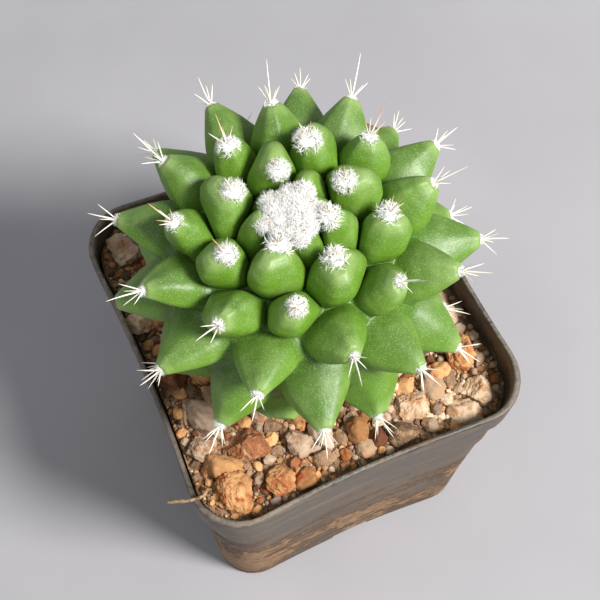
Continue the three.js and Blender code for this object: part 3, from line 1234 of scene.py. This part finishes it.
@dataclass
class GritStones:
    """The larger stones that lie on the soil, one piece each."""

    kinds: tuple[Grit, ...] = (
        Grit.FIRED_CLAY, Grit.FIRED_CLAY, Grit.LAVA, Grit.GRANITE, Grit.GRANITE,
        Grit.FIRED_CLAY, Grit.PUMICE, Grit.GRANITE, Grit.PUMICE, Grit.FIRED_CLAY,
    )
    seed: int = 5
    sides: int = 12
    detail: int = 6

    def nodes(self) -> list[str]:
        """Names of the stones' own solids."""
        return [f"grit_stone_{number + 1:02d}" for number in range(len(self.kinds))]

    def discs(self, pot: NurseryPot) -> list[tuple[float, float, float]]:
        """Ground that the stones cover, measured from the pot's middle.

        Args:
            pot: The pot that they lie in.

        Returns:
            Each disc as x, y and radius.
        """
        discs = []
        for node in self.nodes():
            low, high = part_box(node)
            middle = (low + high) / (2.0 * MM) - pot.centre
            discs.append((middle.x, middle.y, (high.x - low.x) / (2.0 * MM)))
        return discs

    def build(self) -> list[bpy.types.Object]:
        """Make every stone inside the box of its own solid.

        Returns:
            The pieces.
        """
        chance = random.Random(self.seed)
        pieces = []
        for node, kind in zip(self.nodes(), self.kinds):
            low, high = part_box(node)
            shape = bmesh.new()
            layer = shape.verts.layers.float_color.new("growth")
            bmesh.ops.create_icosphere(shape, subdivisions=self.detail, radius=1.0)
            lump = BrokenLump(chance, self.sides)
            for vert in shape.verts:
                way = vert.co.normalized()
                vert.co = way * lump.radius(way)
                vert[layer] = (0.5 + 0.4 * noise.noise(way + lump.shift), 1.0, 0.0, 1.0)
            size = high - low
            bmesh.ops.scale(shape, vec=size / (2.0 * MM), verts=shape.verts)
            bmesh.ops.translate(shape, vec=(low + high) / (2.0 * MM), verts=shape.verts)
            piece = finish_mesh(node + "_look", shape, [kind.value.material()])
            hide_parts(node)
            pieces.append(piece)
        return pieces


# ---- Cactus -----------------------------------------------------------------


@dataclass(frozen=True)
class Border:
    """A corner on the valley line between cells."""

    start: Vector
    way: Vector
    corner: bool


@dataclass
class CactusStem:
    """The green body, grown as one skin of tubercles that share their valleys."""

    pattern: GrowthPattern
    centre: Vector
    profile: BodyProfile = field(default_factory=BodyProfile)
    skin: CactusSkin = field(default_factory=CactusSkin)
    young: tuple[tuple[float, float], ...] = (
        (0.18, 0.99), (0.42, 0.93), (0.66, 0.78), (0.87, 0.56), (1.0, 0.36))
    old: tuple[tuple[float, float], ...] = (
        (0.10, 0.93), (0.30, 0.76), (0.56, 0.52), (0.82, 0.29), (1.0, 0.15))
    bare: tuple[tuple[float, float], ...] = ((0.6, 0.82), (1.0, 0.5))
    valley_crease: float = 0.9
    ridge_crease: tuple[float, float] = (0.25, 0.6)
    bulge: tuple[float, float] = (1.03, 0.91)
    widest_share: float = 0.995
    bare_height: float = 0.8
    shoulder: float = 0.8
    family: int = 7
    finest_step: float = 0.03
    lowest: float = -0.97
    levels: int = 2

    def directions(self) -> list[Vector]:
        """Unit-sphere directions of every cell, tubercles first and then the bare base.

        Returns:
            Unit vectors, in the order of the spiral.
        """
        found = []
        for number in range(self.pattern.count):
            found.append(self.profile.direction(self.pattern.tubercle(number).foot))
        step = (found[-1 - self.family].z - found[-1].z) / self.family
        height = found[-1].z - step
        number = self.pattern.count
        while height > self.lowest:
            turn = self.pattern.first_angle + number * GOLDEN_ANGLE
            out = math.sqrt(1.0 - height * height)
            found.append(Vector((out * math.cos(turn), out * math.sin(turn), height)))
            height -= max(step, self.finest_step)
            number += 1
        return found

    def cell_net(self, directions: Sequence[Vector]
                 ) -> tuple[bmesh.types.BMesh, dict[int, bmesh.types.BMFace]]:
        """Divide the unit sphere into one cell round each direction.

        Args:
            directions: The middle of each cell.

        Returns:
            The net and its faces by cell number.
        """
        net = bmesh.new()
        seeds = [net.verts.new(direction) for direction in directions]
        bmesh.ops.convex_hull(net, input=seeds)
        hull_edges = list(net.edges)
        bmesh.ops.poke(net, faces=list(net.faces))
        bmesh.ops.rotate_edges(net, edges=hull_edges, use_ccw=False)
        places = [seed.co.copy() for seed in seeds]
        bmesh.ops.dissolve_verts(net, verts=seeds)
        cells: dict[int, bmesh.types.BMFace] = {}
        for face in net.faces:
            middle = face.calc_center_median().normalized()
            number = max(range(len(places)), key=lambda n: places[n].dot(middle))
            cells[number] = face
        return net, cells

    def partner(self, vert: bmesh.types.BMVert, face: bmesh.types.BMFace,
                known: dict[bmesh.types.BMVert, Border]) -> Border:
        """Facts kept for the border corner that a new corner grew from.

        Args:
            vert: The new corner.
            face: The new inner face that it belongs to.
            known: Facts of the ring outside it.

        Returns:
            The facts.
        """
        for edge in vert.link_edges:
            other = edge.other_vert(vert)
            if other in known and other not in face.verts:
                return known[other]
        raise ValueError("a new corner has no older neighbour")

    def axis(self, number: int, face: bmesh.types.BMFace) -> Vector:
        """Direction in which a cell grows out of the body.

        Args:
            number: The cell's place in the spiral.
            face: The cell's face.

        Returns:
            A unit vector.
        """
        if number < self.pattern.count:
            place = self.pattern.tubercle(number)
            return (place.tip - place.foot).normalized()
        middle = face.calc_center_median()
        return Vector((middle.x, middle.y, 0.0)).normalized()

    def raise_cell(self, net: bmesh.types.BMesh, face: bmesh.types.BMFace, number: int,
                   borders: dict[bmesh.types.BMVert, Border]) -> None:
        """Grow one cell into its tubercle, ring by ring.

        Args:
            net: The body.
            face: The cell's face, on the valley surface.
            number: The cell's place in the spiral.
            borders: What is known of each corner of the valleys.
        """
        growth = net.verts.layers.float_color["growth"]
        crease = net.edges.layers.float["crease_edge"]
        bare = number >= self.pattern.count
        middle = face.calc_center_median()
        axis = self.axis(number, face)
        if bare:
            tip, age, rings = middle + axis * self.bare_height, 1.0, self.bare
        else:
            place = self.pattern.tubercle(number)
            tip, age = place.tip, place.age
            rings = tuple(
                (mix(one[0], two[0], age), mix(one[1], two[1], age))
                for one, two in zip(self.young, self.old))
        length = (tip - middle).dot(axis)
        tint = random.Random(number * 17 + 3).random()
        known = {vert: borders[vert] for vert in face.verts}
        for rise, width in rings:
            bmesh.ops.inset_individual(net, faces=[face], thickness=0.01)
            fresh = {vert: self.partner(vert, face, known) for vert in face.verts}
            for vert, border in fresh.items():
                along = (border.start - middle).dot(axis)
                lift = mix(along, 0.0, min(1.0, rise / self.shoulder)) + rise * length
                wall = border.start + border.way * ((lift - along) / border.way.dot(axis))
                spine = middle.lerp(tip, rise) + axis * (lift - rise * length)
                bulge = 1.0 if border.corner else mix(*self.bulge, age)
                vert.co = spine.lerp(wall, min(self.widest_share, width * bulge))
                vert[growth] = (rise, age * float(border.corner), tint, 1.0)
                if border.corner and not bare:
                    for edge in vert.link_edges:
                        if edge.other_vert(vert) in known:
                            edge[crease] = mix(*self.ridge_crease, age)
            known = fresh

    def build(self) -> bpy.types.Object:
        """Make the whole body.

        Returns:
            The finished piece.
        """
        net, cells = self.cell_net(self.directions())
        growth = net.verts.layers.float_color.new("growth")
        crease = net.edges.layers.float.new("crease_edge")
        corners = set(net.verts)
        bmesh.ops.subdivide_edges(net, edges=list(net.edges), cuts=1)
        for vert in net.verts:
            vert.co = self.profile.point(vert.co.normalized())
            vert[growth] = (0.0, 0.0, 0.5, 1.0)
        for edge in net.edges:
            edge[crease] = self.valley_crease
        axes = {face: self.axis(number, face) for number, face in cells.items()}
        borders = {}
        for vert in net.verts:
            way = sum((axes[face] for face in vert.link_faces), Vector())
            borders[vert] = Border(vert.co.copy(), way.normalized(), vert in corners)
        for number, face in sorted(cells.items()):
            self.raise_cell(net, face, number, borders)
        bmesh.ops.recalc_face_normals(net, faces=net.faces)
        bmesh.ops.translate(net, vec=self.centre, verts=net.verts)
        stem = finish_mesh("cactus_body", net, [self.skin.material()])
        smooth = stem.modifiers.new("skin", "SUBSURF")
        smooth.levels = self.levels
        smooth.render_levels = self.levels
        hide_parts("cactus_stem")
        return stem


@dataclass
class WoolTuft:
    """A ball of wool of unit radius, to be copied and sized."""

    wisps: int
    seed: int
    hairs_per_wisp: int = 6
    wisp_spread: float = 0.14
    hair_length: tuple[float, float] = (0.42, 0.95)
    hair_radius: float = 0.025
    core: float = 0.70

    def hair(self) -> bpy.types.Mesh:
        """One curved hair of unit length that rises and then lies over.

        Returns:
            Its mesh.
        """
        shape = bmesh.new()
        path = [Vector((0.0, 0.0, 0.0)), Vector((0.15, 0.0, 0.4)), Vector((0.62, 0.0, 0.6))]
        thick = self.hair_radius / mix(*self.hair_length, 0.5)
        sweep(shape, path, (thick, thick * 0.8, thick * 0.25), 3)
        return to_mesh(shape, "wool_hair")

    def wisp(self) -> bpy.types.Mesh:
        """A few hairs that fan out of one place on the unit ball, upright.

        Returns:
            Their mesh.
        """
        chance = random.Random(self.seed + 100)
        hair = self.hair()
        shape = bmesh.new()
        for _ in range(self.hairs_per_wisp):
            root = Vector((chance.gauss(0.0, self.wisp_spread),
                           chance.gauss(0.0, self.wisp_spread), 0.0))
            matrix = (Matrix.Translation(root)
                      @ Matrix.Rotation(chance.uniform(0.0, math.tau), 4, "Z")
                      @ Matrix.Rotation(chance.uniform(-0.5, 0.5), 4, "X")
                      @ Matrix.Scale(chance.uniform(*self.hair_length), 4))
            add_copy(shape, hair, matrix)
        return to_mesh(shape, "wool_wisp")

    def ball(self) -> bpy.types.Mesh:
        """The cottony core, without its hairs.

        Returns:
            Its mesh.
        """
        chance = random.Random(self.seed)
        shape = bmesh.new()
        bmesh.ops.create_icosphere(shape, subdivisions=4, radius=self.core)
        shift = Vector([chance.uniform(-9.0, 9.0) for _ in range(3)])
        for vert in shape.verts:
            swell = 1.0 + 0.2 * noise.noise(vert.co * 2.6 + shift)
            vert.co *= swell + 0.13 * noise.noise(vert.co * 8.0 + shift)
        return to_mesh(shape, "wool_ball")

    def plant(self, shape: bmesh.types.BMesh, wisp: bpy.types.Mesh, root: Vector, way: Vector,
              turn: float, size: float) -> None:
        """Set one wisp on a surface.

        Args:
            shape: The bmesh that it is added to.
            wisp: The wisp to copy.
            root: Where it stands.
            way: Direction that it stands up in.
            turn: Its turn about that direction.
            size: Radius of the tuft that it belongs to.
        """
        matrix = (Matrix.Translation(root) @ turned_to(way) @ Matrix.Rotation(turn, 4, "Z")
                  @ Matrix.Scale(size, 4))
        add_copy(shape, wisp, matrix)

    def mould(self) -> bpy.types.Mesh:
        """Make a core covered in fine hairs that lie every way.

        Returns:
            Its mesh.
        """
        chance = random.Random(self.seed)
        wisp = self.wisp()
        shape = bmesh.new()
        shape.from_mesh(self.ball())
        for _ in range(self.wisps):
            way = random_way(chance)
            self.plant(shape, wisp, way * self.core * 0.9, way, chance.uniform(0.0, math.tau), 1.0)
        return to_mesh(shape, "wool_tuft")


@dataclass
class SpineCluster:
    """The wool tuft and spines at one tubercle's tip."""

    place: Tubercle
    centre: Vector
    new_length: float = 3.0
    prime_length: float = 8.4
    worn_length: float = 5.4
    radial_length: tuple[float, float] = (4.2, 5.0)
    radial_spread: tuple[float, float] = (0.42, 0.66)
    central_radius: float = 0.17
    radial_radius: float = 0.14
    sides: int = 5
    wool_flatness: float = 0.85
    wool_sink: float = 0.12

    def central_length(self) -> float:
        """Length of the longest spine: short when new, long in its prime, then worn."""
        grown = mix(self.new_length, self.prime_length, ramp(0.05, 0.42, self.place.age))
        return mix(grown, self.worn_length, ramp(0.8, 1.0, self.place.age))

    def spines(self, shape: bmesh.types.BMesh, chance: random.Random) -> None:
        """Fan the spines out of the wool.

        Args:
            shape: The cluster's bmesh.
            chance: Source of random numbers.
        """
        place = self.place
        frame_turn = turned_to(place.axis)
        count = chance.choice((4, 5, 5, 6))
        spread = mix(*self.radial_spread, place.age)
        longest = self.central_length()
        radial = mix(min(self.radial_length[0], longest), self.radial_length[1], place.age)
        start = chance.uniform(0.0, math.tau)
        for number in range(count + 1):
            central = number == count
            tilt = chance.uniform(0.0, 0.2) if central else spread * chance.uniform(0.7, 1.25)
            turn = start + number / count * math.tau + chance.uniform(-0.3, 0.3)
            length = longest if central else chance.uniform(0.7, 1.0) * radial
            length *= chance.uniform(0.88, 1.06)
            way = frame_turn @ Vector((math.sin(tilt) * math.cos(turn),
                                       math.sin(tilt) * math.sin(turn), math.cos(tilt)))
            bend = random_way(chance) * 0.06 * length
            root = place.tip + self.centre
            path = [root + way * length * share + bend * share * share
                    for share in (0.0, 0.25, 0.5, 0.75, 0.93, 1.0)]
            thick = self.central_radius if central else self.radial_radius
            radii = [thick * size for size in (1.0, 0.92, 0.78, 0.55, 0.25, 0.08)]
            amber = 0.2 * chance.random()
            if place.age < 0.45 and (central or number % 2 == 0):
                amber = chance.uniform(0.75, 1.0)
            sweep(shape, path, radii, self.sides,
                  lambda share, amber=amber: (share, amber, 0.0, 1.0), 1)

    def build(self, mould: bpy.types.Mesh, finishes: Sequence[bpy.types.Material]
              ) -> bpy.types.Object:
        """Make the cluster.

        Args:
            mould: A wool tuft of unit radius.
            finishes: The wool's and the spines' materials.

        Returns:
            The piece.
        """
        place = self.place
        chance = random.Random(place.number * 7 + 1)
        shape = bmesh.new()
        shape.verts.layers.float_color.new("growth")
        shape.from_mesh(mould)
        wool = place.wool * chance.uniform(0.9, 1.08)
        seat = place.tip + self.centre - place.axis * wool * self.wool_sink
        spin = Matrix.Rotation(chance.uniform(0.0, math.tau), 4, "Z")
        size = Matrix.Diagonal((wool, wool, wool * self.wool_flatness, 1.0))
        matrix = Matrix.Translation(seat) @ turned_to(place.axis) @ spin @ size
        bmesh.ops.transform(shape, matrix=matrix, verts=shape.verts)
        self.spines(shape, chance)
        number = f"{place.number:02d}"
        piece = finish_mesh("areole_" + number, shape, finishes)
        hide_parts("spine_cluster_" + number)
        return piece


@dataclass
class CrownWool:
    """The felt of wool over the growing point, with young spine tips in it."""

    pattern: GrowthPattern
    centre: Vector
    first_cluster: int = 5
    radius: float = 6.0
    off_axis: tuple[float, float] = (-1.2, -1.5)
    tufts: int = 18
    wisps: int = 1750
    flatness: float = 0.85
    sink: float = 0.3
    crowning: float = 0.04
    lobe_radius: tuple[float, float] = (1.6, 2.1)
    young_spines: int = 14
    young_length: float = 2.0

    def middle(self) -> Vector:
        """Middle of the felt's top."""
        apex = self.pattern.mid_height + self.pattern.rise
        return Vector((*self.off_axis, apex)) + self.centre

    def spiral(self, count: int, reach: float, start: float = 0.0) -> list[Vector]:
        """Offsets of points spread evenly over a disc, one golden angle after another.

        Args:
            count: How many points.
            reach: Radius of the disc.
            start: Angle of the first one.

        Returns:
            The offsets.
        """
        found = []
        for number in range(count):
            out = reach * math.sqrt((number + 0.5) / count)
            turn = number * GOLDEN_ANGLE + start
            found.append(Vector((out * math.cos(turn), out * math.sin(turn), 0.0)))
        return found

    def lobes(self, chance: random.Random) -> list[tuple[Vector, float]]:
        """Middle and radius of each lobe of the felt: the youngest areoles, then the rest.

        Args:
            chance: Source of random numbers.

        Returns:
            Each middle and radius.
        """
        top = self.middle() - UP * self.sink
        lobes = []
        for number in range(self.first_cluster):
            tip = self.pattern.tubercle(number).tip + self.centre
            lobes.append((Vector((*top.xy.lerp(tip.xy, 0.75), top.z)), 2.0))
        for spot in self.spiral(self.tufts, self.radius * 0.78):
            drop = self.crowning * spot.length_squared
            lobes.append((top + spot - UP * drop, chance.uniform(*self.lobe_radius)))
        return lobes

    def build(self, tuft: WoolTuft, finishes: Sequence[bpy.types.Material]
              ) -> bpy.types.Object:
        """Heap lobes over the crown and cover all that shows of them in hairs.

        Args:
            tuft: The kind of wool.
            finishes: The wool's and the spines' materials.

        Returns:
            The piece.
        """
        chance = random.Random(23)
        shape = bmesh.new()
        shape.verts.layers.float_color.new("growth")
        lobes = self.lobes(chance)
        ball, wisp = tuft.ball(), tuft.wisp()
        squash = Matrix.Diagonal((1.0, 1.0, self.flatness, 1.0))
        for spot, size in lobes:
            matrix = (Matrix.Translation(spot) @ squash
                      @ Matrix.Rotation(chance.uniform(0.0, math.tau), 4, "Z")
                      @ Matrix.Scale(size, 4))
            add_copy(shape, ball, matrix)
        planted = 0
        while planted < self.wisps:
            spot, size = chance.choice(lobes)
            way = random_way(chance)
            root = spot + squash @ (way * size * tuft.core * 0.95)
            buried = any((root - other).length < reach * tuft.core * self.flatness
                         for other, reach in lobes if other is not spot)
            if way.z < -0.2 or buried:
                continue
            lean = (way + random_way(chance) * 0.5).normalized()
            tuft.plant(shape, wisp, root, lean, chance.uniform(0.0, math.tau), size)
            planted += 1
        for offset in self.spiral(self.young_spines, self.radius * 0.9, 0.7):
            spot = self.middle() + offset
            way = Vector((chance.gauss(0.0, 0.35), chance.gauss(0.0, 0.35), 1.0)).normalized()
            path = [spot + way * share * self.young_length for share in (0.0, 0.5, 1.0)]
            sweep(shape, path, (0.12, 0.09, 0.02), 4,
                  lambda share: (mix(0.6, 1.0, share), 0.5, 0.0, 1.0), 1)
        piece = finish_mesh("crown_felt", shape, finishes)
        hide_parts("crown_wool")
        return piece


@dataclass
class DryBits:
    """The root that hangs over the rim and the straw that stands in the soil."""

    centre: Vector

    def build(self) -> list[bpy.types.Object]:
        """Make both.

        Returns:
            The pieces.
        """
        material = DryFibre().material()
        pieces = []
        routes = {
            "root_fibre": ([(-29.8, -26.2, 67.0), (-30.4, -26.8, 70.6), (-31.6, -28.2, 71.6),
                            (-34.2, -27.8, 71.2), (-36.6, -27.0, 71.4), (-38.2, -26.2, 70.8)],
                           0.3),
            "straw_bit": ([(-29.4, -12.6, 67.4), (-28.9, -11.6, 70.2), (-28.2, -10.0, 72.4)],
                          0.38),
        }
        for node, (corners, radius) in routes.items():
            points = [Vector(corner) + self.centre for corner in corners]
            path = []
            for start, end in zip(points, points[1:]):
                path += [start.lerp(end, share / 4.0) for share in range(4)]
            path.append(points[-1])
            for _ in range(3):
                path[1:-1] = [(a + 2.0 * b + c) / 4.0 for a, b, c in zip(path, path[1:], path[2:])]
            radii = [radius * (1.0 + 0.18 * math.sin(2.3 * n)) for n in range(len(path))]
            radii[-1] = radius * 0.4
            shape = bmesh.new()
            sweep(shape, path, radii, 8)
            piece = finish_mesh(node + "_look", shape, [material])
            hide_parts(node)
            pieces.append(piece)
        return pieces


# ---- Studio -----------------------------------------------------------------


@dataclass(frozen=True)
class Lamp:
    """A round area light that aims at the plant, with its angles in degrees."""

    name: str
    turn: float
    lift: float
    reach: float
    size: float
    watts: float
    colour: Colour

    def hang(self) -> None:
        """Add the lamp to the scene."""
        data = bpy.data.lights.new(self.name, "AREA")
        data.shape = "DISK"
        data.size = self.size
        data.energy = self.watts
        data.color = self.colour
        lamp = bpy.data.objects.new(self.name, data)
        way = seen_from(self.turn, self.lift)
        lamp.location = way * self.reach + UP * AIM_HEIGHT
        lamp.rotation_euler = way.to_track_quat("Z", "Y").to_euler()
        bpy.context.scene.collection.objects.link(lamp)


@dataclass
class Studio:
    """Pale floor, soft lights and the camera."""

    centre: Vector
    floor_half: float = 3000.0
    azimuth: float = -24.085
    elevation: float = 65.0
    distance: float = 238.58
    lens: float = 72.7
    aim: tuple[float, float, float] = (0.728, 1.315, 70.0)
    lamps: tuple[Lamp, ...] = (
        Lamp("key_light", 38.0, 48.0, 0.9, 0.26, 15.5, (1.0, 0.985, 0.96)),
        Lamp("fill_light", -110.0, 40.0, 1.1, 0.9, 2.0, (0.95, 0.975, 1.0)),
    )

    def floor(self) -> None:
        """Lay a wide pale floor."""
        shape = bmesh.new()
        bmesh.ops.create_grid(shape, x_segments=1, y_segments=1, size=self.floor_half)
        graph = NodeGraph("studio_floor")
        graph.set(Base_Color=graph.blend(graph.fade(graph.noise(60.0), 0.3, 0.7),
                                         (0.315, 0.308, 0.325), (0.34, 0.333, 0.35)),
                  Roughness=0.85)
        floor = finish_mesh("studio_floor", shape, [graph.material])

    def lights(self) -> None:
        """Light it from the right and a little in front, in a bright room."""
        for lamp in self.lamps:
            lamp.hang()
        world = bpy.data.worlds.new("studio_room")
        world.use_nodes = True
        sky = world.node_tree.nodes["Background"]
        sky.inputs["Color"].default_value = (0.93, 0.96, 1.0, 1.0)
        sky.inputs["Strength"].default_value = 0.41
        bpy.context.scene.world = world

    def camera(self) -> None:
        """Set the camera above and in front of the plant."""
        back = seen_from(self.azimuth, self.elevation)
        data = bpy.data.cameras.new("camera")
        data.lens = self.lens
        data.sensor_width = 36.0
        data.clip_start = 0.01
        camera = bpy.data.objects.new("camera", data)
        camera.location = (self.centre + Vector(self.aim) + back * self.distance) * MM
        camera.rotation_euler = back.to_track_quat("Z", "Y").to_euler()
        bpy.context.scene.collection.objects.link(camera)
        bpy.context.scene.camera = camera

    def build(self) -> None:
        """Set up the whole studio."""
        self.camera()
        self.floor()
        self.lights()
        bpy.context.scene.view_settings.view_transform = "Standard"


# ---- Whole object -----------------------------------------------------------


def report(pieces: Iterable[bpy.types.Object]) -> None:
    """Log each finished piece."""
    for piece in pieces:
        LOG.info("built %s with %d faces", piece.name, len(piece.data.polygons))


def main() -> None:
    """Build the studio, the pot, the soil and the cactus."""
    logging.basicConfig(level=logging.INFO, format="%(name)s: %(message)s")
    low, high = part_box("nursery_pot")
    pot_centre = Vector(((low.x + high.x) / 2.0, (low.y + high.y) / 2.0, 0.0)) / MM
    plant_centre = pot_centre + PLANT_OFFSET
    Studio(pot_centre).build()

    pot = NurseryPot(pot_centre)
    report([pot.build()])
    bed = SoilBed(pot)
    report([bed.build()])
    stones = GritStones()
    report(stones.build())
    report(LooseGrit(bed).build(stones.discs(pot)))
    report(DryBits(pot_centre).build())

    pattern = GrowthPattern()
    report([CactusStem(pattern, plant_centre).build()])
    finishes = [PlantWool().material(), SpineHorn().material()]
    tufts = [WoolTuft(WISPS_PER_TUFT, seed) for seed in TUFT_SEEDS]
    report([CrownWool(pattern, plant_centre).build(tufts[0], finishes)])
    moulds = [tuft.mould() for tuft in tufts]
    for number in range(pattern.count):
        if f"spine_cluster_{number:02d}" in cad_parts:
            cluster = SpineCluster(pattern.tubercle(number), plant_centre)
            report([cluster.build(moulds[number % len(moulds)], finishes)])


if __name__ == "__main__":
    main()
